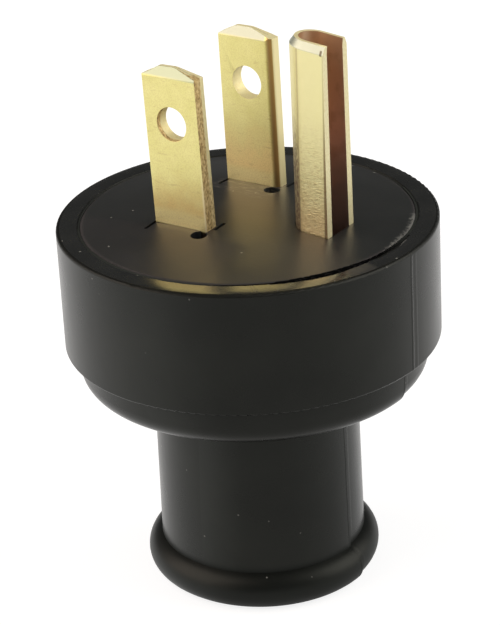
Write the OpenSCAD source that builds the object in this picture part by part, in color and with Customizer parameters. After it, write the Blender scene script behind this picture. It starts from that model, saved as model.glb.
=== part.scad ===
// Rubber grounded plug: a rewirable three-prong cord plug that stands on its cord end, prongs up.
// The z axis is the axis of the plug and z = 0 is the cord end. The ground prong is on +x and the
// line blade is on -y.

/* [Shell] */
// Diameter of the drum
drum_dia = 38.5; // [36:0.1:42]
// Height of the drum wall, from the step up to the rim
drum_height = 12.7; // [11:0.1:15]
// Rounding of the drum's rim
rim_round = 0.25; // [0.1:0.05:1]
// Width of the rim that shows round the face
rim_width = 2.3; // [1.8:0.1:3]
// Width of the step from the drum in to the shoulder
step_width = 1.25; // [0.6:0.05:1.8]
// Rounding of the drum's lower edge, above the step
step_round = 0.2; // [0.1:0.05:0.35]
// Height of the shoulder below the step
shoulder_height = 4.3; // [3.5:0.1:6]
// Rounding under the shoulder
shoulder_round = 2.2; // [1:0.1:3]
// Draft of the shoulder wall, in degrees
shoulder_draft = 3; // [1:1:10]
// Thickness of the rubber between the wiring chamber and the underside
floor_thickness = 3.4; // [2:0.1:4]
// Width of the ledge that the carrier sits on
ledge_width = 2.4; // [1.5:0.1:3]

/* [Neck] */
// Length of the neck, from the cord end up to the underside
neck_length = 22; // [18:0.1:30]
// Diameter of the neck where it meets the underside
neck_dia = 21; // [19:0.1:24]
// How much wider the neck gets towards the cord end
neck_flare = 0.5; // [0:0.1:1]
// Rounding where the neck meets the underside
neck_fillet = 1.2; // [0.5:0.1:2]
// Diameter of the round collar at the cord end
collar_dia = 24.4; // [23.5:0.1:27]
// Radius of the collar's round section
collar_round = 2.05; // [1.5:0.05:3]
// How much of the collar's round is cut off flat at the cord end
collar_flat = 0.12; // [0.05:0.01:0.4]
// Diameter of the cord bore
cord_bore_dia = 12; // [8:0.5:14]
// Chamfer of the cord bore's two ends
cord_bore_chamfer = 0.8; // [0.3:0.1:1.5]

/* [Carrier] */
// Thickness of the carrier at its edge
carrier_thickness = 6; // [5:0.1:7]
// Rise of the crowned face above the rim
crown_height = 1.1; // [0.4:0.1:1.6]
// Gap between the carrier and the shell
seam_gap = 0.08; // [0.04:0.01:0.15]
// Bevel on the two edges of the seam
seam_bevel = 0.18; // [0.05:0.01:0.3]
// How far the snap rib stands out of the carrier's edge
rib_height = 0.6; // [0.3:0.1:0.9]
// Radius of the snap rib's round section
rib_round = 0.9; // [0.6:0.1:1.2]
// Depth of the barriers between the wiring terminals
barrier_height = 4; // [2:0.1:5]
// Thickness of a barrier
barrier_thickness = 1.2; // [0.8:0.1:1.6]
// Distance between the two barriers' middles
barrier_pitch = 7.6; // [7:0.1:9]
// Diameter of the small pit beside each blade
pit_dia = 1.7; // [0.8:0.1:2]
// Depth of the small pit
pit_depth = 2; // [0.5:0.1:3]
// Width of the slits at the two ends of each blade slot
slit_width = 0.35; // [0.2:0.05:0.6]
// Length of a slit
slit_length = 1.7; // [0.8:0.1:2.5]
// Depth of a slit
slit_depth = 1; // [0.4:0.1:2]

/* [Blades] */
// Distance between the middles of the two blades
blade_pitch = 12.7; // [12:0.1:13.4]
// Width of a blade
blade_width = 6.35; // [5.8:0.05:6.8]
// Thickness of a folded blade
blade_thickness = 1.52; // [1.3:0.01:1.8]
// Gap between the two layers of a folded blade
blade_fold_gap = 0.06; // [0.03:0.01:0.15]
// Rounding of the fold's soft corner
fold_round = 0.7; // [0.3:0.05:0.85]
// Rounding of the fold's tight corner
fold_corner = 0.15; // [0.05:0.05:0.3]
// How far a blade stands out of the rim plane
blade_reach = 17.5; // [15:0.1:19]
// Rise of the crowned tip
tip_crown = 1; // [0.5:0.1:1.5]
// Height of the bevels on both sides of the tip
tip_bevel_height = 1.15; // [0.6:0.05:2]
// Thickness left at the tip
tip_thickness = 0.8; // [0.5:0.05:1.1]
// Diameter of the hole in a blade
blade_hole_dia = 3.5; // [2.8:0.1:4]
// Height of that hole above the rim plane
blade_hole_height = 11.8; // [10:0.1:13]
// Distance of the blades from the middle of the plug
prong_shift = 3.15; // [2.6:0.05:3.6]

/* [Ground prong] */
// Distance from the blades to the middle of the ground prong
ground_offset = 11.9; // [11.4:0.1:12.4]
// Width of the folded channel
ground_width = 4.8; // [4.4:0.1:5.2]
// Depth of the channel, from its round back to its open side
ground_depth = 4.8; // [4.2:0.1:5.4]
// Wall of the channel
ground_wall = 0.85; // [0.6:0.05:1.1]
// How far the ground prong stands out of the rim plane
ground_reach = 20.4; // [18:0.1:22]
// Height of the bevel round its end
ground_bevel_height = 0.95; // [0.5:0.05:1.5]
// How far that bevel goes in
ground_bevel_in = 0.5; // [0.2:0.05:0.55]
// Length of the terminal foot behind the round back
ground_foot_length = 6.2; // [5.6:0.1:7]

/* [Terminals] */
// Gap round a prong in its slot
slot_gap = 0.06; // [0.03:0.01:0.12]
// Gap between the terminals and the chamber wall
terminal_gap = 0.4; // [0.2:0.1:0.8]
// Distance of a terminal screw from its prong
screw_offset = 3; // [2.8:0.1:3.3]
// Diameter of the screw's head
screw_head_dia = 5.2; // [4.5:0.1:5.6]
// Height of the screw's head
screw_head_height = 1.5; // [1:0.1:2]
// Width of the driver slot
driver_slot_width = 0.9; // [0.6:0.1:1.2]
// Depth of the driver slot
driver_slot_depth = 0.7; // [0.4:0.1:0.9]
// Diameter of the screw's shank
shank_dia = 3.2; // [2.6:0.1:3.5]
// Length of the shank
shank_length = 4.6; // [3.5:0.1:5]
// Gap round the shank in its hole
shank_gap = 0.06; // [0.03:0.01:0.12]

/* [Hidden] */
$fn = 128;

// Overlap of a cutting shape past the surface that it cuts
past = 1;

// Heights, from the cord end up
under_z = neck_length;
step_z = under_z + shoulder_height;
face_z = step_z + drum_height;
back_z = face_z - carrier_thickness;
chamber_floor_z = under_z + floor_thickness;
rib_z = (back_z + face_z) / 2;

// Radii
drum_r = drum_dia / 2;
shoulder_r = drum_r - step_width;
seat_r = drum_r - rim_width;
carrier_r = seat_r - seam_gap;
chamber_r = seat_r - ledge_width;
cord_bore_r = cord_bore_dia / 2;
collar_ring_r = collar_dia / 2 - collar_round;
collar_ring_z = collar_round - collar_flat;
rib_ring_r = carrier_r + rib_height - rib_round;
crown_sphere_r = (carrier_r * carrier_r + crown_height * crown_height) / (2 * crown_height);

// The shoulder's round is tangent to its drafted wall
shoulder_ring_z = under_z + shoulder_round;
shoulder_ring_r = shoulder_r - (step_z - shoulder_ring_z) * tan(shoulder_draft)
                  - shoulder_round / cos(shoulder_draft);

// Prongs
layer = (blade_thickness - blade_fold_gap) / 2;
blade_fold_x = (blade_thickness - blade_width) / 2;
blade_tip_z = face_z + blade_reach;
tip_arc_r = (blade_width * blade_width / 4 + tip_crown * tip_crown) / (2 * tip_crown);
ground_x = ground_offset - prong_shift;
ground_r = ground_width / 2;
ground_back_x = ground_x - ground_depth / 2;
ground_tip_z = face_z + ground_reach;
blade_screw_y = blade_pitch / 2 + blade_thickness / 2 + screw_offset;
ground_screw_x = ground_back_x - screw_offset;

// Stands what follows at a blade: side -1 is the line blade and side 1 the neutral blade
module at_blade(side) {
    translate([-prong_shift, side * blade_pitch / 2, 0]) children();
}

// A blade's far side is a half turn of its near side
module turned_to(side) {
    rotate(side > 0 ? 180 : 0) children();
}

// Quarter-round fill of radius r in the inner corner at the origin, towards +x and -y
module corner_fill(r) {
    difference() {
        translate([-past, -r]) square([r + past, r + past]);
        translate([r, -r]) circle(r);
    }
}

// Half section of a straight band of radius r with its two outer edges rounded
module round_edged_band(r, low_z, high_z, low_round, high_round) {
    translate([0, low_z]) square([r - low_round, low_round]);
    translate([0, low_z + low_round]) square([r, high_z - high_round - low_z - low_round]);
    translate([0, high_z - high_round]) square([r - high_round, high_round]);
    translate([r - low_round, low_z + low_round]) circle(low_round);
    translate([r - high_round, high_z - high_round]) circle(high_round);
}

// Outer outline of the shell, to be turned about the axis
module shell_outline() {
    round_edged_band(drum_r, step_z, face_z, step_round, rim_round);
    polygon([
        [0, under_z],
        [shoulder_ring_r, under_z],
        [shoulder_ring_r, shoulder_ring_z],
        [shoulder_ring_r + shoulder_round * cos(shoulder_draft),
         shoulder_ring_z - shoulder_round * sin(shoulder_draft)],
        [shoulder_r, step_z],
        [0, step_z]
    ]);
    translate([shoulder_ring_r, shoulder_ring_z]) circle(shoulder_round);
    translate([neck_dia / 2, under_z]) corner_fill(neck_fillet);
    polygon([[0, 0], [neck_dia / 2 + neck_flare / 2, 0], [neck_dia / 2, under_z], [0, under_z]]);
    square([collar_ring_r, collar_ring_z]);
    intersection() {
        translate([collar_ring_r, collar_ring_z]) circle(collar_round);
        square([collar_dia, collar_round * 2]);
    }
}

// What is hollow in the shell: seat, snap groove, wiring chamber and cord bore
module shell_hollow() {
    translate([0, back_z]) square([seat_r, carrier_thickness + past]);
    polygon([
        [0, face_z - seam_bevel],
        [seat_r, face_z - seam_bevel],
        [seat_r + seam_bevel, face_z],
        [seat_r + seam_bevel, face_z + past],
        [0, face_z + past]
    ]);
    translate([rib_ring_r, rib_z]) circle(rib_round + seam_gap);
    translate([0, chamber_floor_z]) square([chamber_r, back_z - chamber_floor_z + past]);
    translate([0, -past]) square([cord_bore_r, chamber_floor_z + 2 * past]);
    polygon([
        [0, chamber_floor_z - cord_bore_chamfer],
        [cord_bore_r, chamber_floor_z - cord_bore_chamfer],
        [cord_bore_r + cord_bore_chamfer, chamber_floor_z],
        [0, chamber_floor_z]
    ]);
    polygon([[0, 0], [cord_bore_r + cord_bore_chamfer, 0], [cord_bore_r, cord_bore_chamfer], [0, cord_bore_chamfer]]);
}

module rubber_shell() {
    color([0.13, 0.13, 0.13])
        rotate_extrude()
            difference() {
                shell_outline();
                shell_hollow();
            }
}

// Half section of the carrier disc with its crowned face and snap rib
module carrier_section() {
    intersection() {
        translate([0, face_z + crown_height - crown_sphere_r]) circle(crown_sphere_r, $fn = 1024);
        polygon([
            [0, back_z],
            [carrier_r, back_z],
            [carrier_r, face_z - seam_bevel],
            [carrier_r - seam_bevel, face_z],
            [carrier_r - seam_bevel, face_z + 2 * crown_height],
            [0, face_z + 2 * crown_height]
        ]);
    }
    translate([rib_ring_r, rib_z]) circle(rib_round);
}

// Section of a folded blade: one strip turned back on itself, with its fold on -x. The fold is pressed flat,
// which leaves a soft corner on +y and a tight one on -y
module blade_section(grow = 0) {
    half_w = blade_width / 2 + grow;
    half_t = blade_thickness / 2 + grow;
    difference() {
        translate([-half_w, -half_t]) square([2 * half_w, 2 * half_t]);
        translate([-half_w, half_t]) corner_fill(fold_round + grow);
        translate([-half_w, -half_t]) mirror([0, 1]) corner_fill(fold_corner + grow);
    }
}

// Outer section of the ground channel, round on -x
module ground_section(grow = 0) {
    translate([ground_back_x + ground_r, 0]) circle(ground_r + grow);
    translate([ground_back_x + ground_r, -ground_r - grow])
        square([ground_depth - ground_r + grow, ground_width + 2 * grow]);
}

// The pit and the slits in the face beside one blade
module blade_marks(side) {
    marks_z = face_z - slit_depth;
    half_w = blade_width / 2;
    half_t = blade_thickness / 2;
    at_blade(side) {
        translate([half_w - pit_dia / 8, -half_t - pit_dia / 2, face_z - pit_depth])
            cylinder(d = pit_dia, h = pit_depth + crown_height + past);
        translate([-half_w, -half_t - slit_length, marks_z])
            cube([slit_width, slit_length + half_t, slit_depth + crown_height + past]);
        translate([half_w + slit_width, 0, marks_z])
            cube([slit_width, slit_length, slit_depth + crown_height + past]);
    }
}

// Hole for one terminal screw, open to the carrier's back
module shank_hole() {
    translate([0, 0, back_z - past])
        cylinder(d = shank_dia + 2 * shank_gap, h = past + shank_length);
}

// The two barriers that keep the wires apart
module barriers() {
    intersection() {
        translate([0, 0, back_z - barrier_height]) cylinder(r = chamber_r - terminal_gap, h = barrier_height + past);
        for (side = [-1, 1])
            translate([-chamber_r, side * barrier_pitch / 2 - barrier_thickness / 2, back_z - barrier_height])
                cube([2 * chamber_r, barrier_thickness, barrier_height + past]);
    }
}

module contact_carrier() {
    color([0.16, 0.155, 0.15])
        difference() {
            union() {
                rotate_extrude() carrier_section();
                barriers();
            }
            for (side = [-1, 1]) {
                at_blade(side) turned_to(side)
                    translate([0, 0, back_z - past])
                        linear_extrude(carrier_thickness + crown_height + 2 * past) blade_section(slot_gap);
                translate([-prong_shift, side * blade_screw_y, 0]) shank_hole();
                blade_marks(side);
            }
            translate([0, 0, back_z - past])
                linear_extrude(carrier_thickness + crown_height + 2 * past) ground_section(slot_gap);
            translate([ground_screw_x, 0, 0]) shank_hole();
        }
}

// Face outline of a blade with its crowned tip, in x and z
module blade_outline() {
    intersection() {
        translate([-blade_width, back_z]) square([2 * blade_width, blade_tip_z - back_z]);
        union() {
            translate([-blade_width, back_z]) square([2 * blade_width, blade_tip_z - 2 * tip_crown - back_z]);
            translate([0, blade_tip_z - tip_arc_r]) circle(tip_arc_r);
        }
    }
}

// What the two tip bevels take away, in y and z
module tip_bevel_cut() {
    half_t = blade_thickness / 2;
    lean = (half_t - tip_thickness / 2) / tip_bevel_height;
    bevel_z = blade_tip_z - tip_bevel_height;
    for (side = [0, 1])
        mirror([side, 0])
            polygon([
                [half_t, bevel_z],
                [half_t + past, bevel_z],
                [half_t + past, blade_tip_z + past],
                [half_t - lean * (tip_bevel_height + past), blade_tip_z + past]
            ]);
}

// Section of the terminal foot in y and z: it is bent out of the layer on -y, and its root runs up inside it
module foot_section() {
    half_t = blade_thickness / 2;
    root = carrier_thickness / 2;
    translate([-half_t - chamber_r, back_z - layer]) square([chamber_r, layer]);
    intersection() {
        union() {
            translate([-half_t, back_z]) circle(layer);
            translate([-half_t, back_z]) square([layer, root]);
        }
        translate([-half_t, back_z - 2 * layer]) square([2 * layer, root + 2 * layer]);
    }
}

// One folded blade with its terminal foot
module contact_blade(side) {
    intersection() {
        at_blade(side) turned_to(side)
            difference() {
                union() {
                    difference() {
                        translate([0, 0, back_z]) linear_extrude(blade_tip_z - back_z) blade_section();
                        translate([blade_fold_x, -blade_fold_gap / 2, back_z - past])
                            cube([blade_width, blade_fold_gap, blade_tip_z - back_z + 2 * past]);
                    }
                    rotate([90, 0, 90])
                        translate([0, 0, blade_fold_x]) linear_extrude(blade_width / 2 - blade_fold_x) foot_section();
                }
                rotate([90, 0, 90])
                    translate([0, 0, -blade_width]) linear_extrude(2 * blade_width) tip_bevel_cut();
                translate([0, blade_width, face_z + blade_hole_height])
                    rotate([90, 0, 0]) cylinder(d = blade_hole_dia, h = 2 * blade_width);
                translate([0, -blade_thickness / 2 - screw_offset, back_z - layer - past])
                    cylinder(d = shank_dia + 2 * shank_gap, h = layer + 2 * past);
            }
        union() {
            at_blade(side)
                translate([0, blade_thickness, 0])
                    rotate([90, 0, 0]) linear_extrude(2 * blade_thickness) blade_outline();
            translate([0, 0, back_z - layer]) cylinder(r = chamber_r - terminal_gap, h = layer + past);
        }
    }
}

module line_blade() {
    color([0.86, 0.78, 0.5]) contact_blade(-1);
}

module neutral_blade() {
    color([0.86, 0.78, 0.5]) contact_blade(1);
}

// Room inside the ground prong's end bevel
module ground_bevel_room() {
    round_x = ground_back_x + ground_r;
    bevel_z = ground_tip_z - ground_bevel_height;
    translate([round_x, 0, back_z]) cylinder(r = ground_r, h = bevel_z - back_z);
    translate([round_x, 0, bevel_z])
        cylinder(r1 = ground_r, r2 = ground_r - ground_bevel_in, h = ground_bevel_height);
    translate([round_x, 0, 0])
        rotate([90, 0, 90])
            linear_extrude(ground_depth)
                polygon([
                    [-ground_r, back_z],
                    [ground_r, back_z],
                    [ground_r, bevel_z],
                    [ground_r - ground_bevel_in, ground_tip_z],
                    [ground_bevel_in - ground_r, ground_tip_z],
                    [-ground_r, bevel_z]
                ]);
}

// Section of the channel's wall
module channel_section() {
    difference() {
        ground_section();
        translate([ground_back_x + ground_r, 0]) circle(ground_r - ground_wall);
        translate([ground_back_x + ground_r, ground_wall - ground_r])
            square([ground_depth, ground_width - 2 * ground_wall]);
    }
}

// The ground prong's terminal foot, with the root that runs up inside the channel's round back
module ground_foot() {
    difference() {
        translate([ground_back_x - ground_foot_length, -ground_r, back_z - ground_wall])
            cube([ground_foot_length + ground_r, ground_width, ground_wall]);
        translate([ground_screw_x, 0, back_z - ground_wall - past])
            cylinder(d = shank_dia + 2 * shank_gap, h = ground_wall + 2 * past);
    }
    translate([0, 0, back_z - ground_wall / 2])
        linear_extrude((ground_wall + carrier_thickness) / 2)
            intersection() {
                channel_section();
                translate([ground_back_x - past, -ground_r]) square([ground_r / 2 + past, ground_width]);
            }
}

module ground_prong() {
    color([0.84, 0.76, 0.5]) {
        intersection() {
            translate([0, 0, back_z]) linear_extrude(ground_tip_z - back_z) channel_section();
            ground_bevel_room();
        }
        ground_foot();
    }
}

// A terminal screw from below, its head against a foot of the given thickness
module terminal_screw(foot) {
    head_top_z = back_z - foot;
    difference() {
        union() {
            translate([0, 0, head_top_z - screw_head_height]) cylinder(d = screw_head_dia, h = screw_head_height);
            translate([0, 0, head_top_z]) cylinder(d = shank_dia, h = shank_length);
        }
        translate([-screw_head_dia, -driver_slot_width / 2, head_top_z - screw_head_height - past])
            cube([2 * screw_head_dia, driver_slot_width, driver_slot_depth + past]);
    }
}

module line_screw() {
    color([0.8, 0.68, 0.35]) translate([-prong_shift, -blade_screw_y, 0]) terminal_screw(layer);
}

module neutral_screw() {
    color([0.78, 0.78, 0.76]) translate([-prong_shift, blade_screw_y, 0]) terminal_screw(layer);
}

module ground_screw() {
    color([0.12, 0.45, 0.2]) translate([ground_screw_x, 0, 0]) terminal_screw(ground_wall);
}

rubber_shell();
contact_carrier();
line_blade();
neutral_blade();
ground_prong();
line_screw();
neutral_screw();
ground_screw();
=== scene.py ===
# %% [markdown]
# A rubber grounded plug
#
# The plug stands on its cord end with its three brass prongs up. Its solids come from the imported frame, at
# their real size and place. This lesson gives them their looks: the sheet brass of the prongs is folded
# again with softened edges, the moulded rubber gets its parting lines and flash, and every surface gets a
# finish. Every piece ends in metres, in the frame of the solids.

# %% Load the frame
import math

import bmesh
import bpy
from mathutils import Matrix, Vector


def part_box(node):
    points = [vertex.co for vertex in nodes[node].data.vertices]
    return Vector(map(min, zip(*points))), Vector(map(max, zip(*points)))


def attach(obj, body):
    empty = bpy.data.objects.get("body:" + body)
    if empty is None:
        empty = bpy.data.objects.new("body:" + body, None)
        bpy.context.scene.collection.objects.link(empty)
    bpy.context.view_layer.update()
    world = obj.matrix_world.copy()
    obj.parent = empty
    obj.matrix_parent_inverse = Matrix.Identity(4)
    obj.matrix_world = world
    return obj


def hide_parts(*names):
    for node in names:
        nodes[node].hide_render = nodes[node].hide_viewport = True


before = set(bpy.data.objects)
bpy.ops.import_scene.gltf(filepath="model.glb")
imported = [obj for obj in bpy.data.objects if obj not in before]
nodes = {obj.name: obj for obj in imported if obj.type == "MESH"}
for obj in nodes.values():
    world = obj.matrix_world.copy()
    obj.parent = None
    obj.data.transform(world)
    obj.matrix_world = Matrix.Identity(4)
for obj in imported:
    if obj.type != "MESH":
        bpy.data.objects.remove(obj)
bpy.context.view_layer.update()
mm = 0.001

# %% [markdown]
# Camera
#
# The viewpoint was worked out from the rim, the seam and the prongs, whose real sizes are known. The camera
# stands about a quarter of a metre away with a long lens, a little to the right of the blades' flat faces,
# and looks down by about 23 degrees. It could be placed by eye, but a few measured angles give the same
# view each time. The picture is taken as 500 by 625 pixels, and the sensor's width belongs to its long
# side.

# %% Place the camera
view_azimuth = math.radians(35.908)
view_elevation = math.radians(22.701)
view_roll = math.radians(-3.005)
view_pitch = math.radians(-2.2558)
view_yaw = math.radians(-0.0618)
view_distance = 246.865 * mm
focal_pixels = 2460.93
picture_height = 625
sensor_width = 36.0
rim_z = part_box("rubber_shell")[1].z


def direction_to(azimuth, elevation):
    """The direction to a place by two angles in radians. Azimuth 0 is in front of the blades, on -Y."""
    level = math.cos(elevation)
    return Vector((math.sin(azimuth) * level, -math.cos(azimuth) * level, math.sin(elevation)))


back = direction_to(view_azimuth, view_elevation)
right = Vector((math.cos(view_azimuth), math.sin(view_azimuth), 0))
up = back.cross(right)
facing = Matrix((right, up, back)).transposed()
turn = Matrix.Rotation(view_roll, 3, "Z") @ Matrix.Rotation(view_pitch, 3, "X")
turn = turn @ Matrix.Rotation(view_yaw, 3, "Y")
stand = Vector((0, 0, rim_z)) + back * view_distance

bpy.ops.object.camera_add()
camera = bpy.context.object
camera.name = "photo_camera"
camera.matrix_world = Matrix.Translation(stand) @ (facing @ turn).to_4x4()
camera.data.sensor_width = sensor_width
camera.data.lens = focal_pixels / picture_height * sensor_width
camera.data.clip_start = 0.01
camera.data.clip_end = 20
bpy.context.scene.camera = camera
print("camera at", [round(value, 4) for value in camera.location], "lens", round(camera.data.lens, 2))

# %% [markdown]
# Studio
#
# Black rubber shows little but reflections, so the studio around it matters more than its colour. A white
# table runs out of the picture on every side, and the room above it is dark but for a dim band low on the
# wall: the drum's wall picks up the table at its edges, while the face, which mirrors the room above, stays
# black. The table's mirror image is dimmest in front, so the drum falls off to black there. More lamps
# could make the table white, but would wash out the plug, so Light Path nodes show that white only to the
# camera and in mirror images.

# %% Helpers for shader nodes
def is_socket(value):
    """Whether a value is a node's socket, and not a plain number or a colour."""
    return isinstance(value, bpy.types.NodeSocket)


def feed(socket, value):
    """Links another node's output to a socket, or sets the socket to a number, a list or a colour."""
    if is_socket(value):
        socket.id_data.links.new(value, socket)
    elif isinstance(value, tuple):
        socket.default_value = (*value, 1)
    else:
        socket.default_value = value


def add_node(tree, kind, **settings):
    """One shader node in a tree, with its properties set and its sockets fed by name."""
    node = tree.nodes.new(kind)
    for name, value in settings.items():
        if name in node.bl_rna.properties:
            setattr(node, name, value)
        else:
            feed(node.inputs[name.replace("_", " ")], value)
    return node


def join_node(kind, *values, **settings):
    """One shader node fed by values in the order of its sockets, in the tree of those that are sockets."""
    tree = next(value.id_data for value in values if is_socket(value))
    node = add_node(tree, kind, **settings)
    for socket, value in zip(node.inputs, values):
        feed(socket, value)
    return node


def add_ramp(value, stops):
    """A colour ramp from a value socket. A stop is (position, grey) or (position, (red, green, blue))."""
    node = join_node("ShaderNodeValToRGB", value)
    elements = node.color_ramp.elements
    while len(elements) < len(stops):
        elements.new(0.5)
    for element, (position, colour) in zip(elements, stops):
        element.position = position
        element.color = (*colour, 1) if isinstance(colour, tuple) else (colour, colour, colour, 1)
    return node.outputs["Color"]


def add_math(operation, *values):
    """A math node on sockets or plain numbers."""
    return join_node("ShaderNodeMath", *values, operation=operation).outputs[0]


def times(first, *others):
    """The product of two or more sockets or numbers."""
    for other in others:
        first = add_math("MULTIPLY", first, other)
    return first


def plus(base, value, share):
    """A base plus a share of a value."""
    return add_math("MULTIPLY_ADD", value, share, base)


def add_mix(mask, first, second, share=None):
    """Mixes a second colour into a first one by a mask, or by a share of it."""
    node = add_node(mask.id_data, "ShaderNodeMix", data_type="RGBA")
    feed(node.inputs["Factor"], mask if share is None else times(mask, share))
    colours = [socket for socket in node.inputs if socket.type == "RGBA"]
    feed(colours[0], first)
    feed(colours[1], second)
    return [socket for socket in node.outputs if socket.type == "RGBA"][0]


print("shader helpers ready")

# %% Light the room
def ray_masks(tree):
    """A mask of what the camera sees, and one of that and of what glossy surfaces mirror."""
    path = add_node(tree, "ShaderNodeLightPath").outputs
    seen = add_math("MAXIMUM", path["Is Camera Ray"], path["Is Transmission Ray"])
    return seen, add_math("MAXIMUM", seen, path["Is Glossy Ray"])


def mix_shaders(mask, first, second):
    """Mixes a second shader node into a first one by a mask."""
    return join_node("ShaderNodeMixShader", mask, first.outputs[0], second.outputs[0]).outputs[0]


scene = bpy.context.scene
scene.view_settings.view_transform = "Standard"
world = bpy.data.worlds.new("studio_room")
scene.world = world
world.use_nodes = True
tree = world.node_tree
tree.nodes.clear()
direction = add_node(tree, "ShaderNodeTexCoord").outputs["Generated"]
split = add_node(tree, "ShaderNodeSeparateXYZ", Vector=direction)
wall_band = add_ramp(split.outputs["Z"], [(0.0, 0.3), (0.14, 0.05), (1.0, 0.05)])
seen, seen_or_glossy = ray_masks(tree)
low_light = add_node(tree, "ShaderNodeBackground", Color=(1, 1, 1), Strength=0.45)
room = add_node(tree, "ShaderNodeBackground", Color=add_mix(seen, wall_band, (1, 1, 1)), Strength=1.0)
add_node(tree, "ShaderNodeOutputWorld", Surface=mix_shaders(seen_or_glossy, low_light, room))
print("room lit by", world.name)

# %% Lay the table
table_white = 0.82
bpy.ops.mesh.primitive_circle_add(vertices=96, radius=4, fill_type="NGON", location=(0, 0, 0))
table = bpy.context.object
table.name = "white_table"
table_finish = bpy.data.materials.new("white_table_top")
table_finish.use_nodes = True
tree = table_finish.node_tree
tree.nodes.clear()
seen, seen_or_glossy = ray_masks(tree)
paint = add_node(tree, "ShaderNodeBsdfDiffuse", Color=(0.3, 0.3, 0.3))
place = add_node(tree, "ShaderNodeTexCoord").outputs["Object"]
split = add_node(tree, "ShaderNodeSeparateXYZ", Vector=place).outputs
ahead = plus(times(split["X"], math.sin(view_azimuth)), split["Y"], -math.cos(view_azimuth))
aside = plus(times(split["X"], math.cos(view_azimuth)), split["Y"], math.sin(view_azimuth))
bearing = plus(0.5, add_math("ARCTAN2", aside, ahead), 0.5 / math.pi)
mirrored = add_ramp(bearing, [(0.345, table_white), (0.445, 0.36), (0.57, 0.36), (0.79, 0.58),
                              (0.90, table_white)])
strength = add_math("MAXIMUM", mirrored, times(seen, table_white))
glow = add_node(tree, "ShaderNodeEmission", Strength=strength)
black = add_node(tree, "ShaderNodeEmission", Strength=0.0)
both = join_node("ShaderNodeAddShader", paint.outputs[0], mix_shaders(seen_or_glossy, black, glow))
add_node(tree, "ShaderNodeOutputMaterial", Surface=both.outputs[0])
table.data.materials.append(table_finish)
print("table laid at height", table.location.z)

# %% [markdown]
# Lamps
#
# The brass needs broad soft light, because a small lamp would leave hard spots on it. One large lamp hangs
# at the front left, where the coined tips mirror it, and a second one at the right lights the far edges.

# %% Hang the soft lamps
def hang_lamp(name, azimuth, elevation, distance, size, power, colour):
    """A square soft lamp that faces the plug, at an azimuth and elevation in degrees."""
    place = direction_to(math.radians(azimuth), math.radians(elevation)) * distance
    bpy.ops.object.light_add(type="AREA", location=place + Vector((0, 0, rim_z)))
    lamp = bpy.context.object
    lamp.name = name
    lamp.rotation_mode = "QUATERNION"
    lamp.rotation_quaternion = (-place).to_track_quat("-Z", "Y")
    lamp.data.size = size
    lamp.data.energy = power
    lamp.data.color = colour
    print(name, "at", [round(value, 3) for value in lamp.location])


hang_lamp("front_left_lamp", azimuth=-45, elevation=33, distance=0.7, size=0.8, power=4.3,
          colour=(1, 0.85, 0.76))
hang_lamp("right_lamp", azimuth=125, elevation=30, distance=0.8, size=0.7, power=4.2,
          colour=(1, 0.95, 0.88))

# %% [markdown]
# Tools for the bench
#
# Every piece below starts as a primitive and is worked in edit mode, as by hand: some faces or edges are
# picked by their place, and one operator acts on them. The pieces are small, and some operators join points
# that are closer than a tenth of a millimetre in metres. So a piece is modelled in millimetres and shrunk
# to metres when it is done, which leaves its object at the origin with its place in its mesh.

# %% Helpers for picking
def choose(piece):
    """Makes a piece the active one, and the only one selected."""
    bpy.ops.object.select_all(action="DESELECT")
    piece.select_set(True)
    bpy.context.view_layer.objects.active = piece


def start_edit(piece):
    """Opens a piece in edit mode."""
    choose(piece)
    bpy.ops.object.mode_set(mode="EDIT")


def end_edit():
    """Goes back to object mode."""
    bpy.ops.object.mode_set(mode="OBJECT")


def middle(part):
    """Middle of a vertex, an edge or a face."""
    if isinstance(part, bmesh.types.BMVert):
        return part.co
    points = [vert.co for vert in part.verts]
    return sum(points, Vector()) / len(points)


def pick(kind, test):
    """In edit mode, selects only the vertices, edges or faces that pass a test, and counts them."""
    bpy.ops.mesh.select_mode(type=kind)
    bpy.ops.mesh.select_all(action="DESELECT")
    data = bpy.context.object.data
    mesh = bmesh.from_edit_mesh(data)
    parts = {"VERT": mesh.verts, "EDGE": mesh.edges, "FACE": mesh.faces}[kind]
    chosen = [part for part in parts if test(part)]
    for part in chosen:
        part.select_set(True)
    mesh.select_flush_mode()
    bmesh.update_edit_mesh(data)
    return len(chosen)


def pick_all():
    """In edit mode, selects the whole mesh."""
    bpy.ops.mesh.select_all(action="SELECT")


print("picking helpers ready")

# %% Helpers for shaping
def cut_off(point, normal):
    """Cuts away what is selected beyond a plane, and closes the cut."""
    bpy.ops.mesh.bisect(plane_co=point, plane_no=normal, clear_outer=True, use_fill=True, threshold=0.00001)


def split_at(point, normal):
    """Draws a line of edges round a piece along a plane."""
    pick_all()
    bpy.ops.mesh.bisect(plane_co=point, plane_no=normal, threshold=0.00001)


def extrude(*move):
    """Extrudes what is selected by a move."""
    bpy.ops.mesh.extrude_region_move(TRANSFORM_OT_translate={"value": move})


def resize(factors, centre):
    """Scales what is selected about a centre."""
    bpy.ops.transform.resize(value=factors, center_override=centre)


def settle(name):
    """Names the new piece, and puts its place and size into its mesh."""
    bpy.ops.object.transform_apply(location=True, rotation=True, scale=True)
    piece = bpy.context.object
    piece.name = name
    return piece


def add_block(name, low, high):
    """A block between two corners, in millimetres."""
    centre = [(first + last) / 2 for first, last in zip(low, high)]
    size = [last - first for first, last in zip(low, high)]
    bpy.ops.mesh.primitive_cube_add(size=1, location=centre, scale=size)
    return settle(name)


def finish_with(piece, kind, **settings):
    """Adds one modifier to a piece and applies it."""
    modifier = piece.modifiers.new(kind.lower(), kind)
    for name, value in settings.items():
        setattr(modifier, name, value)
    choose(piece)
    bpy.ops.object.modifier_apply(modifier=modifier.name)


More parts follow.
